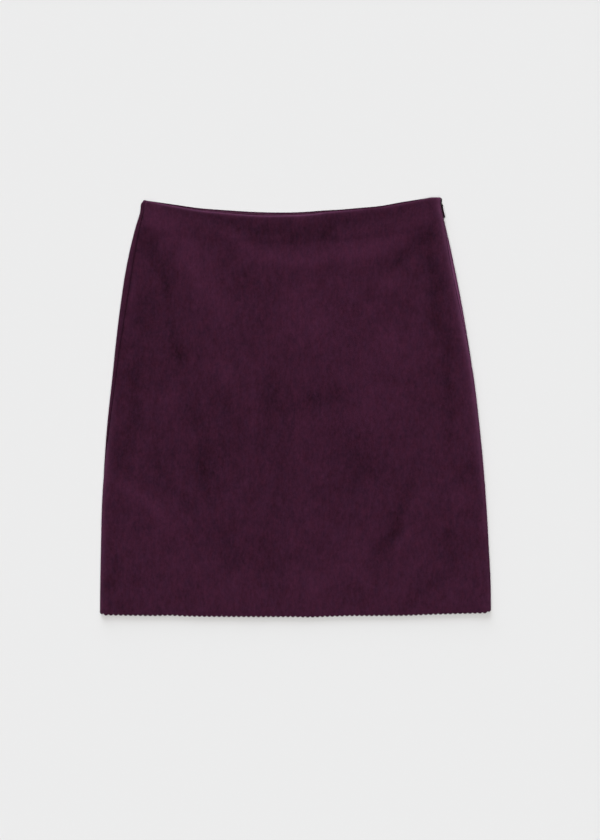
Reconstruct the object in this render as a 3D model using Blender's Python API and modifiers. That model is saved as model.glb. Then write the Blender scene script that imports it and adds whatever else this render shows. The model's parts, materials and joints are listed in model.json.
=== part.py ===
"""Suede A-line skirt, laid flat with its front up: two panels, a back waist facing and a concealed side zip.

All sizes are in millimetres until an object is made. X runs across the skirt, +Y from the hem to the waist
and +Z up from the surface it lies on. The origin is the middle of its outline, on that surface.
"""

import bisect
import math

import bmesh
import bpy
import numpy as np
from mathutils import Matrix, Vector

MM = 0.001
COLLECTION = "suede_midi_skirt"

# ---------------------------------------------------------------- cloth
WALL = 1.2  # suede with its backing
SEAM_GAP = 0.3  # between the two cloths of a seam that lies flat
FOLD_SEAM_GAP = 0.9  # at the outer face, where a seam runs on a side fold and its inner edges close up
SLIDER_SEAM_GAP = 3.0  # where the slider's neck parts the seam
SEAM_OPENS = (12.0, 4.0)  # below the hinge, the seam opens to that gap between these two heights
FACING_WALL = 1.0
TAPE_WALL = 1.0

# Outline as it lies: height of the section, and the outermost line of the left and of the right side fold.
SILHOUETTE = (
    # y, left, right
    (252.0, -181.6, 174.6),
    (248.3, -182.6, 175.0),
    (243.5, -185.5, 175.1),
    (234.0, -186.6, 175.9),
    (226.7, -188.6, 177.5),
    (219.5, -190.9, 179.5),
    (195.5, -197.2, 184.8),
    (166.7, -203.3, 190.9),
    (123.5, -209.9, 199.4),
    (80.3, -215.2, 206.8),
    (37.1, -219.5, 213.7),
    (-20.5, -225.7, 220.7),
    (-78.1, -230.0, 226.1),
    (-121.3, -232.4, 229.2),
    (-164.5, -233.3, 231.7),
    (-207.7, -234.1, 234.1),
    (-252.0, -234.7, 234.7),
)

# Where the side seams run: millimetres of cloth from the outermost line, over the top (+) or underneath (-).
LEFT_SEAM = (
    # y, cloth
    (252.0, 5.4),
    (242.0, 5.8),
    (200.0, 8.1),
    (155.0, 9.7),
    (104.0, 8.7),
    (56.0, 6.8),
    (8.0, 5.5),
    (-40.0, 3.9),
    (-76.0, 1.0),
    (-110.0, -2.0),
    (-160.0, -4.5),
    (-252.0, -6.2),
)
RIGHT_SEAM = (
    # y, cloth
    (252.0, 0.0),
    (238.0, 0.0),
    (226.0, 2.2),
    (205.0, 3.8),
    (90.0, 3.6),
    (65.0, 2.2),
    (40.0, -1.0),
    (0.0, -4.5),
    (-252.0, -6.2),
)

# Height of the side folds, from the surface to their top.
FOLD_HEIGHT = (
    # y, left, right
    (252.0, 5.6, 6.0),
    (180.0, 6.0, 6.4),
    (60.0, 6.0, 6.4),
    (-60.0, 5.8, 5.8),
    (-252.0, 4.8, 4.8),
)
FOLD_DEPTH = 3.5  # how far a side fold's round reaches in from the outermost line
FOLD_CLOTH = 5.0  # cloth from the outermost line to where the round ends
FOLD_BULGE = 9.0  # how far in the cloth stays lifted beside a side fold
STACK = 3.7  # outer face of the front where it just lies on the back
LOWEST = 2 * WALL + SEAM_GAP + 0.1  # the front never lies lower than this
HIGHEST = 6.2

# ---------------------------------------------------------------- waist
WAIST_LEFT = 248.0  # the waist's ends, and how far its middle sags between them
WAIST_RIGHT = 251.4
WAIST_SAG = 16.1
WAIST_MIDDLE = -9.0
WAIST_HALF = 171.0
WAIST_DIPS = (
    # x, width, dip: the two back darts pull the edge down, and it stands a little higher between them
    (-116.0, 24.0, 0.8),
    (102.0, 18.0, 1.0),
    (34.0, 20.0, -0.7),
)
FRONT_DROP = 3.0  # the front's edge lies this much below the back's at the middle
FACING_DEPTH = 30.0
FACING_BELOW_EDGE = 1.0
FACING_CLEAR = 1.5  # from its ends to the side fold and to the zip's tape
FACING_GRID = (28, 3)
LAYER_MARGIN = 3.0  # past a hidden layer the front keeps its height for this much
LAYER_FADE = 10.0  # and then takes this much to settle

# ---------------------------------------------------------------- hem
HEM_LEFT = -248.9
HEM_RIGHT = -246.2
HEM_SAG = 3.4
HEM_HALF = 234.0
HEM_CORNER = 5.0  # the last stretch of the hem, where it turns up to the side fold
HEM_CORNER_LIFT = 1.8
BACK_HEM_SHORTER = 0.6
SCALLOP = 6.0  # pitch of the scallops cut in the hem
SCALLOP_DEPTH = 1.5
SCALLOP_SIDES = 4
MEAN_LOBE = 2 / math.pi  # so that the hem's line runs through the middle of the scallops

# ---------------------------------------------------------------- folds of the front as it lies
FOLDS = (
    # name, x0, y0, x1, y1, bow, width, height
    ("hollow under the waist", -84, 222, 60, 222, -12, 9, -0.6),
    ("swag, left half", -84, 212, 10, 179, -16, 13, 1.3),
    ("swag, right half", 0, 178, 152, 222, -10, 13, 1.3),
    ("hollow below the swag", 176, 226, 58, 156, 8, 11, -0.9),
    ("hollow inside the right edge", 164, 200, 192, -30, -8, 9, -0.8),
    ("left corner hollow", -180, 206, -136, 40, 12, 10, -0.9),
    ("left corner ridge", -166, 212, -78, 48, 8, 12, 1.2),
    ("lower right crease", 143, -70, 98, -184, 8, 7, -0.9),
    ("lower left ridge", -224, -92, -150, -158, 8, 10, 1.1),
    ("lower left hollow", -168, -46, -150, -132, 2, 9, -0.7),
    ("middle hollow", 58, -30, 82, -98, 4, 26, -0.8),
)

# ---------------------------------------------------------------- rows and columns of the panels
NEAR_WAIST_ROWS = (0.0, 3.5, 7.0, 10.5, 14.0, 19.0, 27.0, 38.0)  # below the waist's edge
EVEN_ROWS = 19  # from there to the hem
LENGTH = 485.0  # waist to hem along the middle of the back
FRONT_SIDE_STEPS = (0.0, 0.75, 1.5, 3.0, 4.5, 6.0, 12.0, 18.0)  # cloth from each side seam
BACK_SIDE_STEPS = (0.0, 0.75, 1.5, 3.0, 4.5, 6.0, 7.5, 9.0, 10.5, 12.0, 15.0, 18.0, 24.0)
FRONT_COLUMNS, FRONT_LOBES_EACH = 38, 2
BACK_COLUMNS, BACK_LOBES_EACH = 14, 5

# ---------------------------------------------------------------- zip
ZIP_LENGTH = 168.0
TAPE_WIDTH = 12.0
TAPE_BELOW_EDGE = 1.5
TAPE_RISE = 0.4  # how far its chain side stands up towards the seam
TAPE_INSET = 4.4  # from the right edge to the chain's side of the tape
TAPE_INSET_AT_SLIDER = 7.6
TAPE_NARROWS = (16.0, 8.0)  # below the hinge, its inset changes between these two heights
TAPE_GRID = (6, 18)
SLIDER_BODY = (3.6, 8.6, 2.4)
SLIDER_BODY_INSET = 4.4
SLIDER_BODY_RAISED = 1.2  # its middle above the hinge
BRIDGE_THICK = 1.0
BRIDGE_EYE = 1.25
BRIDGE_RING = 1.9
BRIDGE_TOP = 5.8  # from the hinge up to its end
BRIDGE_PROUD = 0.7  # how far its back stands out from the hinge's line
HINGE = Vector((175.9, 241.5, 2.9))
PULL_THICK = 1.6
PULL_LEAN = 11.0  # degrees between the hanging tab and the skirt's length
PULL_HALF_WIDTH = 1.9
PULL_TIP_RADIUS = 2.3
PULL_TIP = 12.3  # from the hinge to the centre of the round tip
PULL_BAR = 0.7
PULL_WINDOW = (1.0, 2.7)  # half its height, and its far end from the hinge

WINE = (0.040, 0.011, 0.026, 1.0)
WINE_INSIDE = (0.052, 0.015, 0.034, 1.0)
TAPE_COLOUR = (0.022, 0.008, 0.015, 1.0)
DARK_METAL = (0.020, 0.014, 0.015, 1.0)


# ---------------------------------------------------------------- curves read from the tables
def column_curve(table, column):
    """A smooth curve through one column of a table, read at any height y."""
    rows = sorted(table)
    heights = [row[0] for row in rows]
    values = [row[column] for row in rows]
    slopes = [float(slope) for slope in np.gradient(values, heights)]

    def value_at(y):
        y = min(max(y, heights[0]), heights[-1])
        i = min(bisect.bisect_right(heights, y) - 1, len(rows) - 2)
        span = heights[i + 1] - heights[i]
        t = (y - heights[i]) / span
        start = (1 + 2 * t) * values[i] + t * span * slopes[i]
        end = (3 - 2 * t) * values[i + 1] - (1 - t) * span * slopes[i + 1]
        return (1 - t) ** 2 * start + t * t * end

    return value_at


EDGE = {"left": column_curve(SILHOUETTE, 1), "right": column_curve(SILHOUETTE, 2)}
SEAM = {"left": column_curve(LEFT_SEAM, 1), "right": column_curve(RIGHT_SEAM, 1)}
FOLD_TOP = {"left": column_curve(FOLD_HEIGHT, 1), "right": column_curve(FOLD_HEIGHT, 2)}
INWARD = {"left": 1, "right": -1}


def smooth_step(t):
    t = min(max(t, 0.0), 1.0)
    return t * t * (3 - 2 * t)


def sagging(share, left, right, sag):
    """A line that hangs by sag at its middle; share is -1 at its left end and 1 at its right end."""
    return left + (right - left) * (share + 1) / 2 - sag * math.cos(math.pi / 2 * share)


def waist_share(x):
    return min(max((x - WAIST_MIDDLE) / WAIST_HALF, -1.0), 1.0)


def back_waist(x):
    y = sagging(waist_share(x), WAIST_LEFT, WAIST_RIGHT, WAIST_SAG)
    return y - sum(dip * math.exp(-(((x - at) / width) ** 2)) for at, width, dip in WAIST_DIPS)


def front_waist(x):
    return back_waist(x) - FRONT_DROP * (1 - waist_share(x) ** 4)


def front_hem(x):
    share = min(max(x / HEM_HALF, -1.0), 1.0)
    into_corner = max(abs(x) - HEM_HALF + HEM_CORNER, 0.0) / HEM_CORNER
    return sagging(share, HEM_LEFT, HEM_RIGHT, HEM_SAG) + HEM_CORNER_LIFT * into_corner**2


def back_hem(x):
    share = min(abs(x) / HEM_HALF, 1.0)
    return front_hem(x) + BACK_HEM_SHORTER * (1 - share**4)


# ---------------------------------------------------------------- the skirt's outer surface
def fold_relief(x, y):
    """How far the large folds lift or lower the front here."""
    relief = 0.0
    for _, x0, y0, x1, y1, bow, width, height in FOLDS:
        chord = math.hypot(x1 - x0, y1 - y0)
        along_x, along_y = (x1 - x0) / chord, (y1 - y0) / chord
        along = ((x - x0) * along_x + (y - y0) * along_y) / chord
        across = (y - y0) * along_x - (x - x0) * along_y
        across -= bow * 4 * along * (1 - along)
        relief += height * math.exp(-((across / width) ** 2) - (2 * along - 1) ** 4)
    return relief


def inner_layers(x, y):
    """Height that the facing and the zip's tape take up between the back and the front."""
    below_facing = back_waist(x) - y - FACING_DEPTH
    facing = (FACING_WALL + SEAM_GAP) * (1 - smooth_step(below_facing / LAYER_FADE))
    beside_tape = EDGE["right"](y) - TAPE_INSET - TAPE_WIDTH - LAYER_MARGIN - x
    below_tape = HINGE.y - ZIP_LENGTH - y
    tape = (TAPE_WALL + SEAM_GAP) * (1 - smooth_step(max(beside_tape, below_tape) / LAYER_FADE))
    return max(facing, tape)


def top_height(x, y):
    """Height of the front's outer face."""
    lift = inner_layers(x, y)
    height = STACK + lift + fold_relief(x, y)
    height = min(max(height, LOWEST + lift), HIGHEST)
    for side in ("left", "right"):
        past_fold = INWARD[side] * (x - EDGE[side](y)) - FOLD_DEPTH
        beside = math.exp(-((max(past_fold, 0.0) / FOLD_BULGE) ** 2))
        height += (FOLD_TOP[side](y) - height) * beside
    return height


def fold_point(side, cloth, y):
    """Point of the outer surface, cloth mm past a side's outermost line, over the top or underneath."""
    angle = min(max(cloth / FOLD_CLOTH, -1.0), 1.0) * math.pi / 2
    flat = max(abs(cloth) - FOLD_CLOTH, 0.0)
    x = EDGE[side](y) + INWARD[side] * (FOLD_DEPTH * (1 - math.cos(angle)) + flat)
    middle = FOLD_TOP[side](y) / 2
    reach = top_height(x, y) - middle if cloth > 0 else middle
    return x, middle + math.sin(angle) * reach


def seam_gap(side, y):
    """Gap between the two cloths of a side seam, measured at the outer face."""
    off_fold = smooth_step(abs(SEAM[side](y)) - FOLD_CLOTH)
    gap = FOLD_SEAM_GAP + (SEAM_GAP - FOLD_SEAM_GAP) * off_fold
    if side == "right":
        opened = smooth_step((y - HINGE.y + SEAM_OPENS[0]) / (SEAM_OPENS[0] - SEAM_OPENS[1]))
        gap += (SLIDER_SEAM_GAP - gap) * opened
    return gap


class Panel:
    """A cut piece from one side seam to the other, over the top (way +1) or underneath (way -1)."""

    def __init__(self, way, side_steps, columns, lobes_each, waist, hem):
        self.way = way
        self.side_steps = side_steps
        self.last_left = len(side_steps) - 1
        self.first_right = self.last_left + columns
        self.columns = self.first_right + self.last_left
        self.waist = waist
        self.hem = hem
        self.side_lobes = side_steps[-1] / SCALLOP
        self.lobes_each = lobes_each
        self.lobes = 2 * self.side_lobes + columns * lobes_each

    def side_point(self, side, from_seam, y):
        cloth = SEAM[side](y) + self.way * (seam_gap(side, y) / 2 + from_seam)
        return fold_point(side, cloth, y)

    def section_point(self, column, y):
        """The outer surface at this column, on the section at height y."""
        steps = self.side_steps
        if column <= self.last_left:
            return self.side_point("left", np.interp(column, range(len(steps)), steps), y)
        if column >= self.first_right:
            return self.side_point("right", np.interp(self.columns - column, range(len(steps)), steps), y)
        start, _ = self.side_point("left", steps[-1], y)
        end, _ = self.side_point("right", steps[-1], y)
        share = (column - self.last_left) / (self.first_right - self.last_left)
        x = start + (end - start) * share
        return x, (top_height(x, y) if self.way > 0 else 0.0)

    def lobes_before(self, column):
        """Scallops between the left seam and this column of the hem."""
        steps = self.side_steps
        if column <= self.last_left:
            return np.interp(column, range(len(steps)), steps) / SCALLOP
        if column >= self.first_right:
            return self.lobes - np.interp(self.columns - column, range(len(steps)), steps) / SCALLOP
        return self.side_lobes + (column - self.last_left) * self.lobes_each

    def point(self, column, row_share):
        """The outer surface at a column and a share of the way from hem (0) to waist (1)."""
        y = self.hem(0) + row_share * LENGTH
        for _ in range(6):
            x, z = self.section_point(column, y)
            y = self.hem(x) + row_share * (self.waist(x) - self.hem(x))
        if row_share == 0:
            lobe = abs(math.sin(math.pi * self.lobes_before(column)))
            y -= SCALLOP_DEPTH * (lobe - MEAN_LOBE)
        return Vector((x, y, z))

    def hem_cuts(self, column):
        """How many points the hem needs between this column and the next."""
        lobes = self.lobes_before(column + 1) - self.lobes_before(column)
        return max(round(lobes * SCALLOP_SIDES) - 1, 0)


def row_shares():
    """Rows from hem to waist, closer together near the waist."""
    shares = [1 - below / LENGTH for below in NEAR_WAIST_ROWS]
    shares += list(np.linspace(shares[-1], 0.0, EVEN_ROWS + 1)[1:])
    return sorted(float(share) for share in shares)


# ---------------------------------------------------------------- objects
def new_material(name, colour, roughness, metallic=0.0):
    material = bpy.data.materials.new(name)
    material.use_nodes = True
    shader = material.node_tree.nodes["Principled BSDF"]
    shader.inputs["Base Color"].default_value = colour
    shader.inputs["Roughness"].default_value = roughness
    shader.inputs["Metallic"].default_value = metallic
    return material


def new_object(name, bm, material, collection, parent):
    """Turns a bmesh in millimetres into an object in metres."""
    bmesh.ops.scale(bm, vec=(MM, MM, MM), verts=bm.verts)
    mesh = bpy.data.meshes.new(name)
    bm.to_mesh(mesh)
    bm.free()
    mesh.materials.append(material)
    made = bpy.data.objects.new(name, mesh)
    collection.objects.link(made)
    made.parent = parent
    return made


def thicken(made, wall):
    solidify = made.modifiers.new("wall", "SOLIDIFY")
    solidify.thickness = wall * MM
    solidify.offset = -1
    solidify.use_even_offset = True


def grid_sheet(columns, rows):
    """A flat unit grid, and a reader of each vertex's column and row."""
    bm = bmesh.new()
    bmesh.ops.create_grid(bm, x_segments=columns, y_segments=rows, size=1)

    def place_of(vert):
        return (vert.co.x + 1) / 2 * columns, round((vert.co.y + 1) / 2 * rows)

    return bm, place_of


def panel_bmesh(panel):
    """The panel's outer surface, its hem edge cut into scallops."""
    shares = row_shares()
    bm, place_of = grid_sheet(panel.columns, len(shares) - 1)
    hem_edges = {}
    for edge in bm.edges:
        (column_a, row_a), (column_b, row_b) = (place_of(vert) for vert in edge.verts)
        if row_a == row_b == 0:
            cuts = panel.hem_cuts(round(min(column_a, column_b)))
            hem_edges.setdefault(cuts, []).append(edge)
    for cuts, edges in hem_edges.items():
        if cuts:
            bmesh.ops.subdivide_edges(bm, edges=edges, cuts=cuts)
    for vert in bm.verts:
        column, row = place_of(vert)
        vert.co = panel.point(column, shares[row])
    if panel.way < 0:
        bmesh.ops.reverse_faces(bm, faces=bm.faces)
    return bm


def facing_bmesh():
    """The strip inside the back's waist, from the left side fold to the zip."""
    columns, rows = FACING_GRID
    bm, place_of = grid_sheet(columns, rows)
    for vert in bm.verts:
        column, row = place_of(vert)
        share = column / columns
        below = FACING_BELOW_EDGE + FACING_DEPTH * (1 - row / rows)
        y = WAIST_LEFT - below
        for _ in range(4):
            left = EDGE["left"](y) + FOLD_DEPTH + FACING_CLEAR
            right = EDGE["right"](y) - TAPE_INSET_AT_SLIDER - TAPE_WIDTH - FACING_CLEAR
            x = left + (right - left) * share
            y = back_waist(x) - below
        vert.co = Vector((x, y, WALL + SEAM_GAP + FACING_WALL))
    return bm


def tape_bmesh():
    """The zip's tapes and closed chain: a strip on the back's wall that rises into the seam's groove."""
    bottom = HINGE.y - ZIP_LENGTH
    columns, rows = TAPE_GRID
    bm, place_of = grid_sheet(columns, rows)
    for vert in bm.verts:
        column, row = place_of(vert)
        share = column / columns
        y = bottom + (HINGE.y - bottom) * row / rows
        for _ in range(4):
            narrowing = (y - HINGE.y + TAPE_NARROWS[0]) / (TAPE_NARROWS[0] - TAPE_NARROWS[1])
            beside_slider = smooth_step(narrowing)
            inset = TAPE_INSET + (TAPE_INSET_AT_SLIDER - TAPE_INSET) * beside_slider
            x = EDGE["right"](y) - inset - TAPE_WIDTH * (1 - share)
            y = bottom + (front_waist(x) - TAPE_BELOW_EDGE - bottom) * row / rows
        rise = (1 - beside_slider) * TAPE_RISE * smooth_step(2 * share - 1)
        vert.co = Vector((x, y, WALL + SEAM_GAP + TAPE_WALL + rise))
    return bm


def plate_bmesh(outlines, thickness, to_place):
    """A flat plate from closed outlines, the first its edge and the rest its holes."""
    curve = bpy.data.curves.new("plate", "CURVE")
    curve.dimensions = "2D"
    curve.fill_mode = "BOTH"
    curve.extrude = thickness / 2
    for outline in outlines:
        spline = curve.splines.new("POLY")
        spline.points.add(len(outline) - 1)
        for point, (u, w) in zip(spline.points, outline):
            point.co = (u, w, 0, 1)
        spline.use_cyclic_u = True
    holder = bpy.data.objects.new("plate", curve)
    bpy.context.scene.collection.objects.link(holder)
    evaluated = holder.evaluated_get(bpy.context.evaluated_depsgraph_get())
    mesh = bpy.data.meshes.new_from_object(evaluated)
    bm = bmesh.new()
    bm.from_mesh(mesh)
    bmesh.ops.remove_doubles(bm, verts=bm.verts, dist=0.01)
    bmesh.ops.transform(bm, matrix=to_place, verts=bm.verts)
    bpy.data.objects.remove(holder)
    bpy.data.curves.remove(curve)
    bpy.data.meshes.remove(mesh)
    return bm


def arc(centre, radius, start, end, steps):
    """Points on a circle's arc, angles in degrees."""
    angles = np.radians(np.linspace(start, end, steps + 1))
    return [(centre[0] + radius * math.cos(a), centre[1] + radius * math.sin(a)) for a in angles]


def bridge_bmesh():
    """The slider's neck and its bridge, a plate that ends in an eye round the hinge."""
    inner = EDGE["right"](HINGE.y) - SLIDER_BODY_INSET - HINGE.x
    ring = arc((0, 0), BRIDGE_RING, -110, 60, 10)
    back = [(BRIDGE_PROUD, 3.2), (BRIDGE_PROUD - 0.2, BRIDGE_TOP - 0.6)]
    back += [(-0.2, BRIDGE_TOP), (-2.4, BRIDGE_TOP)]
    neck = [(inner, BRIDGE_TOP - 1.6), (inner, -1.6)]
    eye = arc((0, 0), BRIDGE_EYE, 0, 330, 11)
    return plate_bmesh([ring + back + neck, eye], BRIDGE_THICK, Matrix.Translation(HINGE))


def slider_bmesh():
    body = bmesh.new()
    bmesh.ops.create_cube(body, size=1)
    bmesh.ops.scale(body, vec=SLIDER_BODY, verts=body.verts)
    round_edges = {"offset": 0.5, "segments": 2, "profile": 0.5, "affect": "EDGES", "material": -1}
    bmesh.ops.bevel(body, geom=body.edges[:], **round_edges)
    x = EDGE["right"](HINGE.y) - SLIDER_BODY_INSET
    centre = Vector((x, HINGE.y + SLIDER_BODY_RAISED, HINGE.z))
    bmesh.ops.translate(body, vec=centre, verts=body.verts)
    return body


def pull_bmesh():
    """The pull tab hanging from the hinge: a window round the bridge's eye, a waist and a round tip."""
    half = PULL_HALF_WIDTH
    tip = arc((PULL_TIP, 0), PULL_TIP_RADIUS, -78, 78, 10)
    lower = [(-PULL_BAR, -half), (3.4, -half), (5.4, -1.5), (8.0, -1.6)]
    outline = lower + tip + [(u, -w) for u, w in reversed(lower)]
    window_half, window_end = PULL_WINDOW
    window = [(PULL_BAR, -window_half), (PULL_BAR, window_half)]
    window += [(window_end, window_half), (window_end, -window_half)]
    hang = Matrix.Rotation(math.radians(PULL_LEAN - 90), 4, "Z")
    upright = Matrix.Rotation(math.radians(90), 4, "X")
    return plate_bmesh([outline, window], PULL_THICK, hang @ upright)


def union(base, tool):
    """Joins a tool object to a base object, as one body."""
    join = base.modifiers.new("join", "BOOLEAN")
    join.operation = "UNION"
    join.solver = "EXACT"
    join.object = tool
    tool.hide_render = True
    tool.display_type = "WIRE"


def build_skirt():
    for old in list(bpy.data.objects):
        bpy.data.objects.remove(old)
    parts = bpy.data.collections.new(COLLECTION)
    tools = bpy.data.collections.new("cutters")
    for collection in (parts, tools):
        bpy.context.scene.collection.children.link(collection)
    skirt = bpy.data.objects.new("skirt", None)
    parts.objects.link(skirt)

    suede = new_material("wine_suede", WINE, 0.95)
    inside = new_material("facing_suede", WINE_INSIDE, 0.95)
    tape_cloth = new_material("zip_tape_cloth", TAPE_COLOUR, 0.9)
    metal = new_material("dark_zip_metal", DARK_METAL, 0.4, 0.9)

    front = Panel(1, FRONT_SIDE_STEPS, FRONT_COLUMNS, FRONT_LOBES_EACH, front_waist, front_hem)
    back = Panel(-1, BACK_SIDE_STEPS, BACK_COLUMNS, BACK_LOBES_EACH, back_waist, back_hem)
    thicken(new_object("front_panel", panel_bmesh(front), suede, parts, skirt), WALL)
    thicken(new_object("back_panel", panel_bmesh(back), suede, parts, skirt), WALL)
    thicken(new_object("back_waist_facing", facing_bmesh(), inside, parts, skirt), FACING_WALL)
    thicken(new_object("zip_tape", tape_bmesh(), tape_cloth, parts, skirt), TAPE_WALL)

    slider = new_object("zip_slider", slider_bmesh(), metal, parts, skirt)
    union(slider, new_object("slider_bridge", bridge_bmesh(), metal, tools, skirt))

    pull = new_object("zip_pull", pull_bmesh(), metal, parts, skirt)
    pull.location = HINGE * MM


build_skirt()
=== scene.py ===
"""Wine suede skirt laid flat, front up: cloth, creases, scalloped hem, side seams and a concealed zip."""

import json
import math

import bmesh
import bpy
import numpy as np
from mathutils import Matrix, Vector


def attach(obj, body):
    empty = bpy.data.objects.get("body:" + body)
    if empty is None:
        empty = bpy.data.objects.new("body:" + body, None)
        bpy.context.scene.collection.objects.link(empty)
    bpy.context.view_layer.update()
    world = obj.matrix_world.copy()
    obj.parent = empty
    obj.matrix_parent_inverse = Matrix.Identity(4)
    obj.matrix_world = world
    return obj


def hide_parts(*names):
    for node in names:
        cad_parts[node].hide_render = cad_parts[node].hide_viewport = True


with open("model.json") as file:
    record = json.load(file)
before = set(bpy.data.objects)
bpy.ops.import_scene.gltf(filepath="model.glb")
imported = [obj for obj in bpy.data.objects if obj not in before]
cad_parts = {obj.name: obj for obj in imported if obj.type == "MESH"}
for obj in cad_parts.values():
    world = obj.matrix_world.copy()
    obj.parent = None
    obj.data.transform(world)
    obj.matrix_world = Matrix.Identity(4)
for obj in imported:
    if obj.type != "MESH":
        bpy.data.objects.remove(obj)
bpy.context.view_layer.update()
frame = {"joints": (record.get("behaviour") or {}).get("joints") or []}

MM = 0.001  # sizes are in millimetres until a mesh is made

# ---------------------------------------------------------------- camera, floor and light
PICTURE_HEIGHT = 1.008  # metres of floor from the bottom to the top of the picture
LENS = 100.0
SENSOR = 36.0
CAMERA_OVER = (0.00588, -0.01572)  # the point that the picture is centred on
SKIRT_TOP = 0.004  # the level at which the picture's height is measured
FLOOR_SIDE = 8.0
FLOOR_UNDER = 0.00005  # the floor lies this much under the cloth
FLOOR_COLOUR = (0.80, 0.80, 0.80)
SOFT_LIGHTS = (
    # from where, degrees round there of full light and of none left, brightness, tint
    ((0.0, 0.0, 1.0), 15.0, 35.0, 3.54, (1.010, 0.996, 0.976)),
    ((-0.202, 0.949, 0.242), 9.0, 32.0, 7.10, (0.973, 1.011, 1.065)),
)
AMBIENT = 0.05
BACKDROP = 0.84

# ---------------------------------------------------------------- the skirt as it lies
SILHOUETTE = (
    # y, left, right
    (252.0, -181.4, 175.4),
    (249.2, -182.1, 175.4),
    (246.8, -182.8, 175.3),
    (244.6, -184.4, 175.1),
    (243.0, -185.1, 175.0),
    (239.0, -185.5, 175.6),
    (234.0, -186.1, 176.7),
    (230.0, -187.1, 177.6),
    (226.7, -188.1, 178.2),
    (219.5, -190.4, 179.9),
    (195.5, -196.7, 185.5),
    (166.7, -202.8, 191.6),
    (123.5, -209.5, 200.0),
    (80.3, -214.8, 207.4),
    (37.1, -219.3, 214.3),
    (-20.5, -225.5, 221.2),
    (-78.1, -229.7, 226.8),
    (-121.3, -232.1, 230.0),
    (-164.5, -233.1, 232.4),
    (-207.7, -233.9, 234.7),
    (-252.0, -234.5, 235.3),
)
# Millimetres of cloth from the outermost line to the seam, over the top (+) or underneath (-).
LEFT_SEAM = (
    # y, cloth
    (252.0, 5.4),
    (242.0, 5.8),
    (200.0, 8.1),
    (155.0, 9.7),
    (104.0, 8.7),
    (56.0, 6.8),
    (8.0, 5.5),
    (-40.0, 3.9),
    (-76.0, 1.0),
    (-110.0, -2.0),
    (-160.0, -4.5),
    (-252.0, -6.2),
)
RIGHT_SEAM = (
    # y, cloth
    (252.0, 0.0),
    (247.0, 0.0),
    (243.0, -0.6),
    (238.0, -0.8),
    (232.0, -0.6),
    (225.0, 1.8),
    (205.0, 3.8),
    (90.0, 3.6),
    (65.0, 2.2),
    (40.0, -1.0),
    (0.0, -4.5),
    (-252.0, -6.2),
)
FOLD_HEIGHT = (
    # y, left, right: top of the side folds
    (252.0, 5.6, 6.0),
    (180.0, 6.0, 6.4),
    (60.0, 6.0, 6.4),
    (-60.0, 5.8, 5.8),
    (-252.0, 4.8, 4.8),
)
FOLD_DEPTH = 3.5  # from a fold's outermost line inwards, to where its turn ends
FOLD_CLOTH = 5.0  # the cloth that lies in that turn, above or below the outermost line
FOLD_BULGE = 9.0  # how far past the turn the fold still lifts the front
WALL = 1.0
SUEDE_ROUNDING = 0.32
SEAM_GAP = 0.15
FOLD_SEAM_GAP = 0.55
SLIDER_SEAM_GAP = 3.0
SEAM_OPENS = (12.0, 4.0)  # below the hinge, where the seam starts to open and where it is fully open
STACK = 3.7  # the front's outer face where nothing lifts it
LOWEST = 2.6
HIGHEST = 6.4

WAIST_LEFT = 248.0
WAIST_RIGHT = 251.4
WAIST_SAG = 16.1
WAIST_MIDDLE = -9.0
WAIST_HALF = 171.0
WAIST_DIPS = (
    # x, width, dip
    (-116.0, 24.0, 0.8),
    (102.0, 18.0, 1.0),
    (34.0, 20.0, -0.7),
)
FRONT_DROP = 3.5  # the front's waist edge lies this much below the back's in the middle
FRONT_DIPS = (
    # x, width, dip of the front's waist edge below the back's
    (-48.0, 34.0, 0.8),
    (52.0, 20.0, -1.3),
    (88.0, 20.0, -1.2),
    (128.0, 14.0, 0.6),
)
FACING_DEPTH = 30.0
FACING_BELOW_EDGE = 1.7
FACING_CLEAR = 1.5
FACING_WALL = 0.8
FACING_ROUNDING = 0.25
FACING_TOP = 2.4  # its upper face, over the back's wall
FACING_ROLL, FACING_ROLL_WIDTH = 0.15, 2.5
FACING_COLUMNS, FACING_ROWS = 120, 16
FACING_CLOSER = 1.8  # how much closer together its rows lie towards its upper edge
LAYER_LIFT = 1.3  # what the facing and the tape take up under the front
LAYER_MARGIN = 3.0
LAYER_FADE = 10.0

HEM_LEFT = -249.6
HEM_RIGHT = -247.0
HEM_SAG = 3.4
HEM_DIPS = (
    # x, width, dip
    (-150.0, 14.0, -0.8),
    (18.0, 16.0, 0.6),
    (66.0, 16.0, -0.4),
    (132.0, 24.0, 0.6),
)
HEM_HALF = 234.0
HEM_CORNER, HEM_CORNER_LIFT = 7.0, 2.4  # the last of the hem before a corner, and how much it rises
BACK_HEM_SHORTER = 0.6
SCALLOP = 6.0  # from one notch of the hem to the next
SCALLOP_DEPTH = 1.8
SCALLOP_SIDES = 8
MEAN_LOBE = 2 / math.pi
LENGTH = 485.0

HINGE = Vector(frame["joints"][0]["pos_m"]) / MM
ZIP_LENGTH = 168.0
TAPE_WIDTH = 12.0
TAPE_WALL = 0.6
TAPE_ROUNDING = 0.1
TAPE_TOP = 2.4
TAPE_BELOW_EDGE = 1.5
TAPE_RISE = 0.4
TAPE_INSET = 4.4
TAPE_INSET_AT_SLIDER = 7.6
TAPE_NARROWS = (16.0, 8.0)  # below the hinge, where it starts to give way to the slider and where it is clear
TAPE_COLUMNS, TAPE_ROWS = 16, 90

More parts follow.
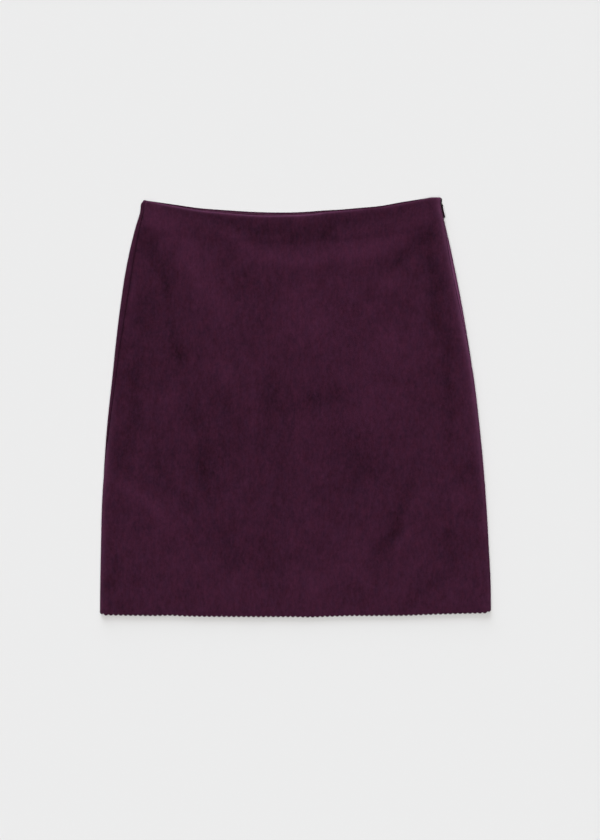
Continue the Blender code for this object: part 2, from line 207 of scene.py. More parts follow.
# ---------------------------------------------------------------- creases
FRONT_CREASES = (
    # name, x0, y0, x1, y1, bow, width, height
    ("hollow under the waist", -98, 226, 78, 222, -17, 11, -1.1),
    ("its left end, along the waist", -166, 243, -66, 222, -3, 6, -0.6),
    ("its right end, along the waist", 60, 217, 148, 243, -3, 6, -0.5),
    ("swag, left half", -84, 214, 12, 173, -15, 11, 0.9),
    ("swag, right half", -6, 174, 160, 230, -17, 13, 1.2),
    ("swag's broad middle", 40, 180, 110, 194, -3, 13, 0.3),
    ("hollow below the swag", 172, 222, 96, 160, 8, 8, -0.9),
    ("right trough, upper part", 164, 200, 177, 84, -3, 9, -1.2),
    ("right trough, lower part", 176, 110, 184, -42, 4, 10, -0.9),
    ("right trough, its foot", 194, -56, 200, -92, 0, 9, -0.4),
    ("thin trough at the right edge", 214, -78, 224, -130, 0, 5, -0.6),
    ("left trough, upper part", -186, 212, -150, 128, 4, 8, -1.4),
    ("left trough, lower part", -156, 152, -134, 46, -3, 8, -0.9),
    ("left trough, dent at its foot", -137, 74, -135, 54, 0, 8, -0.6),
    ("slope beside the left trough", -182, 136, -176, 76, 2, 14, -0.8),
    ("left shoulder", -164, 232, -74, 84, 7, 15, 1.1),
    ("left shoulder, its crest", -138, 186, -108, 118, 2, 10, 0.7),
    ("bump below the left shoulder", -84, 52, -80, 26, 0, 11, 0.7),
    ("left side band", -190, 56, -200, -60, 2, 9, -0.9),
    ("rise beside the left side band", -156, 22, -152, -14, 0, 12, 0.6),
    ("dent under the left swag", -82, 192, -76, 168, 0, 10, -0.6),
    ("upper middle dent", -72, 162, -60, 122, 0, 13, -0.9),
    ("faint middle hollow", -44, 112, -34, 88, 2, 11, -0.4),
    ("broad rise in the upper middle", -6, 140, 30, 82, 0, 28, 0.9),
    ("rise over the right hip", 106, 92, 130, 40, 0, 19, 0.8),
    ("upper right dent", 86, 142, 92, 124, 0, 8, -0.7),
    ("bump beside it", 112, 154, 118, 132, 0, 11, 0.9),
    ("left dent", -94, 4, -76, 0, 1, 8, -0.7),
    ("middle dent", -34, 34, -26, -14, 2, 14, -1.4),
    ("right dent", 16, 10, 58, 2, 3, 13, -0.9),
    ("thigh ridge", -53, 26, -50, -64, 1, 5, 0.5),
    ("middle hollow", 58, -26, 84, -100, 3, 26, -1.1),
    ("long left pleat", -120, 0, -106, -104, 2, 8, -0.8),
    ("long left pleat, its foot", -108, -56, -104, -96, 1, 7, -0.6),
    ("left pleat beside it", -168, -48, -164, -92, 1, 7, -0.7),
    ("left pleat's turn", -160, -96, -120, -130, 4, 8, -0.6),
    ("hollow over the lower left ridge", -216, -36, -198, -86, 0, 12, -1.0),
    ("lower left ridge", -228, -86, -132, -160, 5, 10, 1.2),
    ("lower left hollow", -92, -140, -76, -196, 2, 13, -0.9),
    ("broad hollow over the hem", -50, -160, -22, -214, 3, 22, -0.7),
    ("rise over the hem", 14, -216, 84, -196, 3, 17, 0.6),
    ("left hem corner", -224, -202, -218, -222, 0, 11, -0.8),
    ("lower right crease, its start", 142, -66, 134, -112, 3, 7, -0.8),
    ("lower right crease", 134, -112, 90, -192, 5, 9, -1.5),
    ("rise beside the lower right crease", 152, -96, 118, -184, 7, 8, 0.4),
    ("right lower bump", 186, -104, 200, -124, 0, 12, 0.6),
    ("right lower dent", 180, -148, 186, -190, 0, 14, -0.7),
    ("right hem hollow", 204, -176, 124, -244, 6, 10, -0.8),
    ("broad hollow over the left thigh", -200, 80, -75, -60, 0, 50, -0.38),
    ("its lower part", -110, -30, 10, -60, 0, 45, -0.32),
    ("broad rise over the right hip", 50, 130, 125, -30, 0, 52, 0.42),
    ("broad rise along the hem", -220, -222, 220, -216, 0, 26, 0.25),
    ("left shoulder, beside the waist", -176, 240, -144, 192, 0, 12, 0.7),
    ("broad hollow below the middle dent", -20, 4, 50, -24, 0, 22, -0.35),
    ("broad hollow beside the long left pleat", -170, -66, -70, -96, 0, 24, -0.28),
    ("faint rise in the lower middle", -50, -176, 20, -166, 0, 16, 0.3),
    ("faint rise inside the right trough", 160, 146, 154, 84, 0, 15, 0.4),
    ("faint rise over the right hem", 90, -214, 214, -200, 0, 18, 0.25),
    ("left corner of the waist", -176, 240, -170, 206, 0, 11, 0.9),
    ("lip beside the left seam", -187, 186, -204, 84, 0, 5, 0.7),
)
BACK_CREASES = (
    # name, x0, y0, x1, y1, bow, width, height
    ("back left rise", -170, 180, -96, 20, 10, 12, 0.30),
    ("back right rise", 150, 150, 90, 10, -8, 11, 0.26),
    ("back lower crease", -120, -90, -60, -180, 8, 8, 0.30),
    ("back middle rise", 10, -20, 60, -120, 6, 18, 0.26),
    ("back hem rise", 180, -150, 120, -230, 6, 10, 0.30),
    ("back seat rise", -40, 120, 50, 100, -10, 16, 0.22),
)
CREASE_SHADE_PER_MM = 0.21  # painted light and shade: the colour is painted this much lighter for each millimetre of a crease's lift, and darker where it sinks
# Painted highlight along the side folds: how much lighter the colour is painted there.
SIDE_RIM = (
    # y, left, right
    (252.0, 0.30, 0.80),
    (220.0, 0.26, 1.05),
    (195.0, 0.22, 1.60),
    (150.0, 0.18, 1.90),
    (90.0, 0.10, 1.60),
    (60.0, 0.10, 1.12),
    (0.0, 0.50, 0.98),
    (-30.0, 0.66, 0.84),
    (-60.0, 0.58, 0.68),
    (-112.0, 0.40, 0.46),
    (-160.0, 0.36, 0.32),
    (-196.0, 0.30, 0.26),
    (-252.0, 0.22, 0.24),
)
SIDE_RIM_FLAT, SIDE_RIM_WIDTH = 2.7, 2.9
BACK_RIM = {"left": 0.1, "right": 1.1}  # how much of that painted highlight there is on the back's strips outside the seams
TURNED_DOWN_SHADE, TURNED_DOWN_SHADE_WIDTH = 0.8, 1.5  # painted shade: the share of the highlight taken away where those strips turn down
SEAM_SHADE, SEAM_SHADE_WIDTH = 0.28, 1.6  # painted shade: the colour is this much darker along the left seam
SEAM_SHADE_BELOW, SEAM_SHADE_FADE = 236.0, 12.0  # from this height down
# Painted highlight along the front's waist edge: how much lighter the colour is painted there.
WAIST_RIM = (
    # x, front's waist edge
    (-190.0, 1.2),
    (-60.0, 1.3),
    (40.0, 1.2),
    (75.0, 0.5),
    (125.0, 0.2),
    (150.0, 0.5),
    (180.0, 0.8),
)
# Widths of the painted waist highlight, and strength and width of the painted highlights along the hem and
# the facing's upper edge.
WAIST_RIM_WIDTH = 1.5
HEM_RIM, HEM_RIM_WIDTH = 0.12, 2.0
FACING_RIM, FACING_RIM_WIDTH = 0.45, 0.7
RIPPLES = (
    # wavelength, direction in degrees, phase, height
    (61.0, 12.0, 0.4, 0.10),
    (83.0, 71.0, 1.9, 0.10),
    (37.0, 38.0, 4.1, 0.05),
    (29.0, 118.0, 2.6, 0.04),
    (47.0, 152.0, 5.2, 0.06),
)
DARTS = (
    # x at the waist, x at the tip, length
    (-114.0, -106.0, 118.0),
    (104.0, 98.0, 118.0),
)
DART_DEPTH = 0.25
DART_HALF_WIDTH = 0.8
DART_REACH = 6.0  # faces this near its line are cut along it
DART_MERGE = 0.02

# ---------------------------------------------------------------- how the panels are laid out
FINE_STEPS = (0.0, 0.4, 0.8, 1.2, 1.8, 2.4, 3.0, 3.75, 4.5, 5.25, 6.0)  # cloth from a side seam
FRONT_SIDE_STEPS = FINE_STEPS + (7.5, 9.0, 10.5, 12.0, 15.0, 18.0)
BACK_SIDE_STEPS = FINE_STEPS + (6.75, 7.5, 8.25, 9.0, 9.75, 10.5, 11.25, 12.0, 13.5, 15.0, 18.0, 21.0, 24.0)
FRONT_COLUMNS, FRONT_LOBES = 152, 76
BACK_COLUMNS, BACK_LOBES = 140, 70
NEAR_WAIST_ROWS = (0.0, 0.4, 0.8, 1.2, 1.7, 2.3, 3.0, 4.0, 5.2, 6.6)
NEAR_HEM_ROWS = (6.6, 4.4, 2.2, 0.0)
EVEN_ROWS = 176
SEAM_ROLL, SEAM_ROLL_WIDTH = 0.45, 1.6  # the cloth turns down this much towards a seam
WAIST_ROLL, WAIST_ROLL_WIDTH = 0.9, 2.6
HEM_ROLL, HEM_ROLL_WIDTH = 0.2, 2.2
ROLL_FADE = 2.0  # the last two fade in over this height above the wall: cloth underneath stays level


# ---------------------------------------------------------------- curves read from the tables
def column_curve(table, column):
    """A smooth curve through one column of a table, read at heights y."""
    rows = sorted(table)
    heights = np.array([row[0] for row in rows])
    values = np.array([row[column] for row in rows])
    slopes = np.gradient(values, heights)

    def value_at(y):
        y = np.clip(y, heights[0], heights[-1])
        i = np.clip(np.searchsorted(heights, y, side="right") - 1, 0, len(rows) - 2)
        span = heights[i + 1] - heights[i]
        t = (y - heights[i]) / span
        start = (1 + 2 * t) * values[i] + t * span * slopes[i]
        end = (3 - 2 * t) * values[i + 1] - (1 - t) * span * slopes[i + 1]
        return (1 - t) ** 2 * start + t * t * end

    return value_at


EDGE = {"left": column_curve(SILHOUETTE, 1), "right": column_curve(SILHOUETTE, 2)}
SEAM = {"left": column_curve(LEFT_SEAM, 1), "right": column_curve(RIGHT_SEAM, 1)}
FOLD_TOP = {"left": column_curve(FOLD_HEIGHT, 1), "right": column_curve(FOLD_HEIGHT, 2)}
RIM = {"left": column_curve(SIDE_RIM, 1), "right": column_curve(SIDE_RIM, 2)}
RIM_AT_WAIST = column_curve(WAIST_RIM, 1)
INWARD = {"left": 1, "right": -1}


def smooth_step(t):
    t = np.clip(t, 0.0, 1.0)
    return t * t * (3 - 2 * t)


def sagging(share, left, right, sag):
    """A line that hangs by sag at its middle; share is -1 at its left end and 1 at its right end."""
    return left + (right - left) * (share + 1) / 2 - sag * np.cos(np.pi / 2 * share)


def waist_share(x):
    return np.clip((x - WAIST_MIDDLE) / WAIST_HALF, -1.0, 1.0)


def dips(table, x):
    """Small unevennesses of an edge."""
    return sum(dip * np.exp(-(((x - at) / width) ** 2)) for at, width, dip in table)


def back_waist(x):
    return sagging(waist_share(x), WAIST_LEFT, WAIST_RIGHT, WAIST_SAG) - dips(WAIST_DIPS, x)


def front_waist(x):
    return back_waist(x) - FRONT_DROP * (1 - waist_share(x) ** 4) - dips(FRONT_DIPS, x)


def front_hem(x):
    into_corner = np.maximum(np.abs(x) - HEM_HALF + HEM_CORNER, 0.0) / HEM_CORNER
    share = np.clip(x / HEM_HALF, -1.0, 1.0)
    level = sagging(share, HEM_LEFT, HEM_RIGHT, HEM_SAG) - dips(HEM_DIPS, x)
    return level + HEM_CORNER_LIFT * into_corner**2


def back_hem(x):
    share = np.minimum(np.abs(x) / HEM_HALF, 1.0)
    return front_hem(x) + BACK_HEM_SHORTER * (1 - share**4)


# ---------------------------------------------------------------- relief of the cloth
def crease_relief(creases, x, y):
    """How far the creases lift or lower the cloth here; their lines wander a little, as in soft cloth."""
    wandering_x = x + 1.6 * np.sin(y / 13.0 + x / 31.0) + 0.9 * np.sin(y / 5.3 + 1.0)
    wandering_y = y + 1.8 * np.sin(x / 15.0 - y / 37.0) + 0.8 * np.sin(x / 6.1 + 2.0)
    x, y = wandering_x, wandering_y
    relief = 0.0
    for _, x0, y0, x1, y1, bow, width, height in creases:
        chord = math.hypot(x1 - x0, y1 - y0)
        along_x, along_y = (x1 - x0) / chord, (y1 - y0) / chord
        along = ((x - x0) * along_x + (y - y0) * along_y) / chord
        across = (y - y0) * along_x - (x - x0) * along_y
        across = across - bow * 4 * along * (1 - along)
        relief = relief + height * np.exp(-((across / width) ** 2) - (2 * along - 1) ** 4)
    return relief


def ripple_relief(x, y):
    """The slow unevenness of cloth that has been worn and smoothed out by hand."""
    relief = 0.0
    for wavelength, direction, phase, height in RIPPLES:
        turn = math.radians(direction)
        along = x * math.cos(turn) + y * math.sin(turn)
        relief = relief + height * np.sin(2 * np.pi * along / wavelength + phase)
    return relief


def painted_rim_highlight(panel, x, y):
    """Painted highlight: how much lighter the colour is painted here, along the side folds, the waist's edge
    and the hem, less where the back's strips turn down.
    """
    rim = RIM_AT_WAIST(x) * np.exp((y - panel.waist(x)) / WAIST_RIM_WIDTH)
    rim = rim + HEM_RIM * np.exp((panel.hem(x) - y) / HEM_RIM_WIDTH)
    for side in ("left", "right"):
        from_edge = np.maximum(INWARD[side] * (x - EDGE[side](y)), 0.0)
        side_rim = RIM[side](y) * np.exp(-np.maximum(from_edge - SIDE_RIM_FLAT, 0.0) / SIDE_RIM_WIDTH)
        if panel.way < 0:
            turned = TURNED_DOWN_SHADE * np.exp(-((from_edge / TURNED_DOWN_SHADE_WIDTH) ** 2))
            side_rim = side_rim * BACK_RIM[side] * (1 - turned)
        rim = rim + side_rim
    return rim


def painted_seam_shade(from_left_seam, y):
    """Painted shade: how much darker the colour is painted along the left seam."""
    below_waist = smooth_step((SEAM_SHADE_BELOW - y) / SEAM_SHADE_FADE)
    return SEAM_SHADE * below_waist * np.exp(-((from_left_seam / SEAM_SHADE_WIDTH) ** 2))


def inner_layers(x, y):
    """Height that the facing and the zip's tape take up between the back and the front."""
    below_facing = back_waist(x) - y - FACING_DEPTH
    facing = 1 - smooth_step(below_facing / LAYER_FADE)
    beside_tape = EDGE["right"](y) - TAPE_INSET - TAPE_WIDTH - LAYER_MARGIN - x
    below_tape = HINGE.y - ZIP_LENGTH - y
    tape = 1 - smooth_step(np.maximum(beside_tape, below_tape) / LAYER_FADE)
    return LAYER_LIFT * np.maximum(facing, tape)


def edge_roll(from_edge, roll, width):
    """How far the cloth turns down towards an edge."""
    return roll * np.clip(1 - from_edge / width, 0.0, 1.0) ** 2


def front_height(x, y):
    """Height of the front's outer face."""
    lift = inner_layers(x, y)
    height = STACK + lift + crease_relief(FRONT_CREASES, x, y) + ripple_relief(x, y)
    height = np.clip(height, LOWEST + lift, HIGHEST)
    for side in ("left", "right"):
        past_fold = INWARD[side] * (x - EDGE[side](y)) - FOLD_DEPTH
        beside = np.exp(-((np.maximum(past_fold, 0.0) / FOLD_BULGE) ** 2))
        height = height + (FOLD_TOP[side](y) - height) * beside
    return height


def back_height(x, y):
    """Height of the back's outer face, which lies on the surface and lifts a little at its creases."""
    return np.maximum(crease_relief(BACK_CREASES, x, y), 0.0)


def fold_point(side, cloth, y, sunk):
    """The outer surface, cloth mm over (+) or under (-) a side's outermost line, and sunk mm inwards."""
    angle = np.clip(cloth / FOLD_CLOTH, -1.0, 1.0) * np.pi / 2
    flat = np.maximum(np.abs(cloth) - FOLD_CLOTH, 0.0)
    x = EDGE[side](y) + INWARD[side] * (FOLD_DEPTH * (1 - np.cos(angle)) + flat)
    middle = FOLD_TOP[side](y) / 2
    reach = np.where(cloth > 0, front_height(x, y) - middle, middle)
    z = middle + np.sin(angle) * (reach - sunk)
    return x + INWARD[side] * np.cos(angle) * sunk, z


def seam_gap(side, y):
    """Gap between the two cloths of a side seam, measured at the outer face."""
    off_fold = smooth_step(np.abs(SEAM[side](y)) - FOLD_CLOTH)
    gap = FOLD_SEAM_GAP + (SEAM_GAP - FOLD_SEAM_GAP) * off_fold
    if side == "right":
        opened = smooth_step((y - HINGE.y + SEAM_OPENS[0]) / (SEAM_OPENS[0] - SEAM_OPENS[1]))
        gap = gap + (SLIDER_SEAM_GAP - gap) * opened
    return gap


class Panel:
    """A cut piece from one side seam to the other, over the top (way +1) or underneath (way -1)."""

    def __init__(self, way, side_steps, columns, lobes, waist, hem, height):
        self.way = way
        self.side_steps = side_steps
        self.last_left = len(side_steps) - 1
        self.first_right = self.last_left + columns
        self.columns = self.first_right + self.last_left
        self.waist = waist
        self.hem = hem
        self.height = height
        self.lobes_each = lobes / columns
        self.side_lobes = side_steps[-1] / SCALLOP
        self.lobes = 2 * self.side_lobes + lobes

    def from_seams(self, column):
        """Cloth from the left and from the right seam, as far in as the side columns go."""
        order = range(len(self.side_steps))
        from_left = np.interp(column, order, self.side_steps)
        from_right = np.interp(self.columns - column, order, self.side_steps)
        return from_left, from_right

    def side_point(self, side, from_seam, y):
        cloth = SEAM[side](y) + self.way * (seam_gap(side, y) / 2 + from_seam)
        sunk = edge_roll(from_seam, SEAM_ROLL, SEAM_ROLL_WIDTH)
        return fold_point(side, cloth, y, sunk)

    def section(self, column, y):
        """The outer surface on the section at height y."""
        from_left, from_right = self.from_seams(column)
        left_x, left_z = self.side_point("left", from_left, y)
        right_x, right_z = self.side_point("right", from_right, y)
        share = np.clip((column - self.last_left) / (self.first_right - self.last_left), 0.0, 1.0)
        x = left_x + (right_x - left_x) * share
        z = np.where(share <= 0, left_z, np.where(share >= 1, right_z, self.height(x, y)))
        return x, z

    def lobes_before(self, column):
        """Scallops between the left seam and this column of the hem."""
        from_left, from_right = self.from_seams(column)
        middle = np.clip(column - self.last_left, 0, self.first_right - self.last_left)
        past_middle = self.side_steps[-1] - from_right
        return (from_left + past_middle) / SCALLOP + middle * self.lobes_each

    def points(self, column, row_share):
        """The outer surface at columns and shares of the way from hem (0) to waist (1)."""
        y = self.hem(0.0) + row_share * LENGTH
        for _ in range(6):  # x and y depend on each other and settle in a few rounds
            x, z = self.section(column, y)
            y = self.hem(x) + row_share * (self.waist(x) - self.hem(x))
        above = smooth_step((z - WALL) / ROLL_FADE)
        z = z - edge_roll(self.waist(x) - y, WAIST_ROLL, WAIST_ROLL_WIDTH) * above
        z = z - edge_roll(y - self.hem(x), HEM_ROLL, HEM_ROLL_WIDTH) * above
        lobe = np.abs(np.sin(np.pi * self.lobes_before(column)))
        y = y - np.where(row_share == 0, SCALLOP_DEPTH * (lobe - MEAN_LOBE), 0.0)
        return np.stack([x, y, z], axis=-1)

    def hem_cuts(self, column):
        """How many points the hem needs between this column and the next."""
        lobes = self.lobes_before(column + 1) - self.lobes_before(column)
        return max(round(float(lobes) * SCALLOP_SIDES) - 1, 0)


FRONT = Panel(1, FRONT_SIDE_STEPS, FRONT_COLUMNS, FRONT_LOBES, front_waist, front_hem, front_height)
BACK = Panel(-1, BACK_SIDE_STEPS, BACK_COLUMNS, BACK_LOBES, back_waist, back_hem, back_height)


def row_shares():
    """Rows from hem to waist, closer together beside both edges."""
    top = [1 - below / LENGTH for below in NEAR_WAIST_ROWS]
    bottom = [above / LENGTH for above in NEAR_HEM_ROWS]
    between = np.linspace(top[-1], bottom[0], EVEN_ROWS + 1)[1:-1]
    return np.array(sorted(top + bottom + list(between)))


# ---------------------------------------------------------------- making pieces
CUT_EDGE = math.radians(50)  # a cloth's edges that turn more than this are rounded


def finished_piece(name, bm, body, material, nodes=()):
    """Turns a bmesh in millimetres into a shaded piece in metres that rides on a body."""
    bmesh.ops.scale(bm, vec=(MM, MM, MM), verts=bm.verts)
    mesh = bpy.data.meshes.new(name)
    bm.to_mesh(mesh)
    bm.free()
    mesh.shade_smooth()
    mesh.materials.append(material)
    piece = bpy.data.objects.new(name, mesh)
    bpy.context.scene.collection.objects.link(piece)
    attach(piece, body)
    if nodes:
        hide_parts(*nodes)
    return piece


def thicken(piece, wall, rounding):
    """Gives a cloth surface its wall, inwards, and rounds the cut edges."""
    solidify = piece.modifiers.new("wall", "SOLIDIFY")
    solidify.thickness = wall * MM
    solidify.offset = -1
    solidify.use_even_offset = True
    bevel = piece.modifiers.new("cut edges", "BEVEL")
    bevel.width = rounding * MM
    bevel.segments = 2
    bevel.limit_method = "ANGLE"
    bevel.angle_limit = CUT_EDGE


def grid_sheet(columns, rows):
    """A flat unit grid, and a reader of each vertex's column and row."""
    bm = bmesh.new()
    bmesh.ops.create_grid(bm, x_segments=columns, y_segments=rows, size=1)

    def place_of(vert):
        return (vert.co.x + 1) / 2 * columns, round((vert.co.y + 1) / 2 * rows)

    return bm, place_of


def panel_bmesh(panel, creases):
    """A panel's outer surface, its hem cut into scallops, with its painted crease and seam shade and its
    painted rim highlights on each vertex.
    """
    shares = row_shares()
    bm, place_of = grid_sheet(panel.columns, len(shares) - 1)
    hem_edges = {}
    for edge in bm.edges:
        (column_a, row_a), (column_b, row_b) = (place_of(vert) for vert in edge.verts)
        if row_a == row_b == 0:
            cuts = panel.hem_cuts(round(min(column_a, column_b)))
            hem_edges.setdefault(cuts, []).append(edge)
    for cuts, edges in hem_edges.items():
        if cuts:
            bmesh.ops.subdivide_edges(bm, edges=edges, cuts=cuts)
    places = np.array([place_of(vert) for vert in bm.verts])
    points = panel.points(places[:, 0], shares[places[:, 1].astype(int)])
    x, y, z = points.T
    on_top = z > 2 * WALL
    from_left_seam, _ = panel.from_seams(places[:, 0])
    # Painted light and shade: the colour lighter on the creases' rises, darker in their troughs and along the
    # left seam.
    painted_shades = (CREASE_SHADE_PER_MM * crease_relief(creases, x, y) - painted_seam_shade(from_left_seam, y)) * on_top
    # Painted highlights along the rims.
    rims = painted_rim_highlight(panel, x, y) * on_top
    shade_layer = bm.verts.layers.float.new("painted_shade")
    highlight_layer = bm.verts.layers.float.new("painted_rim_highlight")
    for vert, point, lay, rim in zip(bm.verts, points, painted_shades, rims):
        vert.co = point
        vert[shade_layer] = lay
        vert[highlight_layer] = rim
    if panel.way < 0:
        bmesh.ops.reverse_faces(bm, faces=bm.faces)
    return bm


def press_darts(bm):
    """The back's two darts, each a sewn line pressed into the cloth and running out at its tip."""
    for waist_x, tip_x, length in DARTS:
        top = Vector((waist_x, back_waist(waist_x), 0.0))
        tip = Vector((tip_x, top.y - length, 0.0))
        along = (tip - top).normalized()
        across = Vector((-along.y, along.x, 0.0))
        for share in (-1.0, -0.5, 0.0, 0.5, 1.0):
            near = []
            for face in bm.faces:
                middle = face.calc_center_median()
                if abs((middle - top).dot(across)) < DART_REACH and middle.y > tip.y:
                    near.append(face)
            geom = near + list({edge for face in near for edge in face.edges})
            geom += list({vert for face in near for vert in face.verts})
            cut_at = top + across * (share * DART_HALF_WIDTH)
            bmesh.ops.bisect_plane(bm, geom=geom, dist=DART_MERGE, plane_co=cut_at, plane_no=across)
        for vert in bm.verts:
            sideways = (vert.co - top).dot(across) / DART_HALF_WIDTH
            if abs(sideways) < 1 and vert.co.y > tip.y:
                run_out = smooth_step((vert.co.y - tip.y) / length * 2)
                vert.co.z += DART_DEPTH * float(run_out) * (1 - abs(sideways)) ** 1.5


def facing_bmesh():
    """The strip of suede inside the back's waist, from the left side fold to the zip."""
    bm, place_of = grid_sheet(FACING_COLUMNS, FACING_ROWS)
    highlight_layer = bm.verts.layers.float.new("painted_rim_highlight")
    for vert in bm.verts:
        column, row = place_of(vert)
        below = FACING_BELOW_EDGE + FACING_DEPTH * (1 - row / FACING_ROWS) ** FACING_CLOSER
        y = WAIST_LEFT - below
        for _ in range(4):
            left = EDGE["left"](y) + FOLD_DEPTH + FACING_CLEAR
            right = EDGE["right"](y) - TAPE_INSET_AT_SLIDER - TAPE_WIDTH - FACING_CLEAR
            x = left + (right - left) * column / FACING_COLUMNS
            y = back_waist(x) - below
        roll = edge_roll(below - FACING_BELOW_EDGE, FACING_ROLL, FACING_ROLL_WIDTH)
        vert.co = Vector((x, y, FACING_TOP - roll))
        # Painted highlight along the facing's upper edge.
        vert[highlight_layer] = FACING_RIM * math.exp((FACING_BELOW_EDGE - below) / FACING_RIM_WIDTH)
    return bm


def tape_line(y):
    """The chain side of the zip's tape at height y, and how much of the slider's room is given there."""
    beside_slider = smooth_step((y - HINGE.y + TAPE_NARROWS[0]) / (TAPE_NARROWS[0] - TAPE_NARROWS[1]))
    inset = TAPE_INSET + (TAPE_INSET_AT_SLIDER - TAPE_INSET) * beside_slider
    return EDGE["right"](y) - inset, beside_slider


def tape_bmesh():
    """The zip's woven tape: a strip on the back's wall that rises towards the seam."""
    bottom = HINGE.y - ZIP_LENGTH
    bm, place_of = grid_sheet(TAPE_COLUMNS, TAPE_ROWS)
    for vert in bm.verts:
        column, row = place_of(vert)
        share = column / TAPE_COLUMNS
        y = bottom + (HINGE.y - bottom) * row / TAPE_ROWS
        for _ in range(4):
            chain_side, beside_slider = tape_line(y)
            x = chain_side - TAPE_WIDTH * (1 - share)
            y = bottom + (front_waist(x) - TAPE_BELOW_EDGE - bottom) * row / TAPE_ROWS
        rise = (1 - beside_slider) * TAPE_RISE * smooth_step(2 * share - 1)
        vert.co = Vector((x, y, TAPE_TOP + rise))
    return bm


# ---------------------------------------------------------------- materials
def new_node(tree, kind, **settings):
    made = tree.nodes.new(kind)
    for setting, value in settings.items():
        setattr(made, setting, value)
    return made


class Finish:
    """A new material whose nodes are added and joined by short calls."""

    def __init__(self, name):
        self.material = bpy.data.materials.new(name)
        self.material.use_nodes = True
        self.tree = self.material.node_tree
        self.shader = self.tree.nodes["Principled BSDF"]

    def node(self, kind, **settings):
        return new_node(self.tree, kind, **settings)

    def join(self, output, socket):
        self.tree.links.new(output, socket)

    def coordinates(self, stretch=(1, 1, 1)):
        """Object coordinates in millimetres, stretched along each axis."""
        source = self.node("ShaderNodeTexCoord")
        mapping = self.node("ShaderNodeMapping")
        mapping.inputs["Scale"].default_value = [1000 / s for s in stretch]
        self.join(source.outputs["Object"], mapping.inputs["Vector"])
        return mapping.outputs["Vector"]

    def noise(self, size, detail=2.0, roughness=0.5, stretch=(1, 1, 1), distortion=0.0):
        """Soft noise whose patches are about size millimetres across."""
        texture = self.node("ShaderNodeTexNoise")
        texture.inputs["Scale"].default_value = 1 / size
        texture.inputs["Detail"].default_value = detail
        texture.inputs["Roughness"].default_value = roughness
        texture.inputs["Distortion"].default_value = distortion
        self.join(self.coordinates(stretch), texture.inputs["Vector"])
        return texture.outputs["Fac"]

    def math(self, operation, a, b):
        made = self.node("ShaderNodeMath", operation=operation)
        for socket, value in zip(made.inputs, (a, b)):
            if isinstance(value, (int, float)):
                socket.default_value = value
            else:
                self.join(value, socket)
        return made.outputs["Value"]

    def centred(self, value, strength):
        """A noise value turned into a swing of so much either way round zero."""
        return self.math("MULTIPLY", self.math("SUBTRACT", value, 0.5), strength)

    def scaled(self, colour, by):
        """A colour times a value that changes over the surface."""
        scale = self.node("ShaderNodeVectorMath", operation="SCALE")
        scale.inputs[0].default_value = colour
        self.join(by, scale.inputs["Scale"])
        return scale.outputs["Vector"]

    def summed(self, colours):
        """The sum of several changing colours."""
        total = colours[0]
        for colour in colours[1:]:
            both = self.node("ShaderNodeVectorMath", operation="ADD")
            self.join(total, both.inputs[0])
            self.join(colour, both.inputs[1])
            total = both.outputs["Vector"]
        return total

    def shaded_colour(self, colour, swing, more=()):
        """The colour made lighter or darker by a swing round zero, with more colours added to it."""
        shaded = self.scaled(colour, self.math("ADD", swing, 1.0))
        self.join(self.summed([shaded, *more]), self.shader.inputs["Base Color"])

    def bump(self, height, depth, distance):
        made = self.node("ShaderNodeBump")
        made.inputs["Strength"].default_value = depth
        made.inputs["Distance"].default_value = distance
        self.join(height, made.inputs["Height"])
        self.join(made.outputs["Normal"], self.shader.inputs["Normal"])


WINE = (0.0371, 0.0087, 0.0227)
# The facing's suede is painted lighter than WINE, as though more brightly lit: painted light.
LIT_WINE = (0.046, 0.0140, 0.029)
# Colour added in proportion to the painted rim highlights.
HIGHLIGHT_TINT = (0.048, 0.0178, 0.0378)
WARM_FIBRES = (0.012, -0.0016, -0.006)
NAP_PATCHES = (
    # size, detail, roughness, stretch, distortion, strength
    (62, 1.0, 0.5, (1.0, 1.0, 1.0), 0.0, 0.24),
    (24, 1.0, 0.5, (1.0, 1.2, 1.0), 0.4, 0.28),
    (10, 2.0, 0.5, (1.0, 1.4, 1.0), 0.5, 0.44),
    (5.0, 1.0, 0.5, (0.8, 2.2, 1.0), 0.5, 0.42),
    (2.7, 1.0, 0.5, (0.9, 1.6, 1.0), 0.0, 0.60),
    (1.2, 1.0, 0.5, (1.0, 1.3, 1.0), 0.0, 0.44),
)
SHEEN_TINT = (0.80, 0.40, 0.66, 1.0)
TAPE_COLOUR = (0.022, 0.008, 0.015)
COIL_COLOUR = (0.020, 0.008, 0.013)
LACQUER = (0.0130, 0.0042, 0.0082)


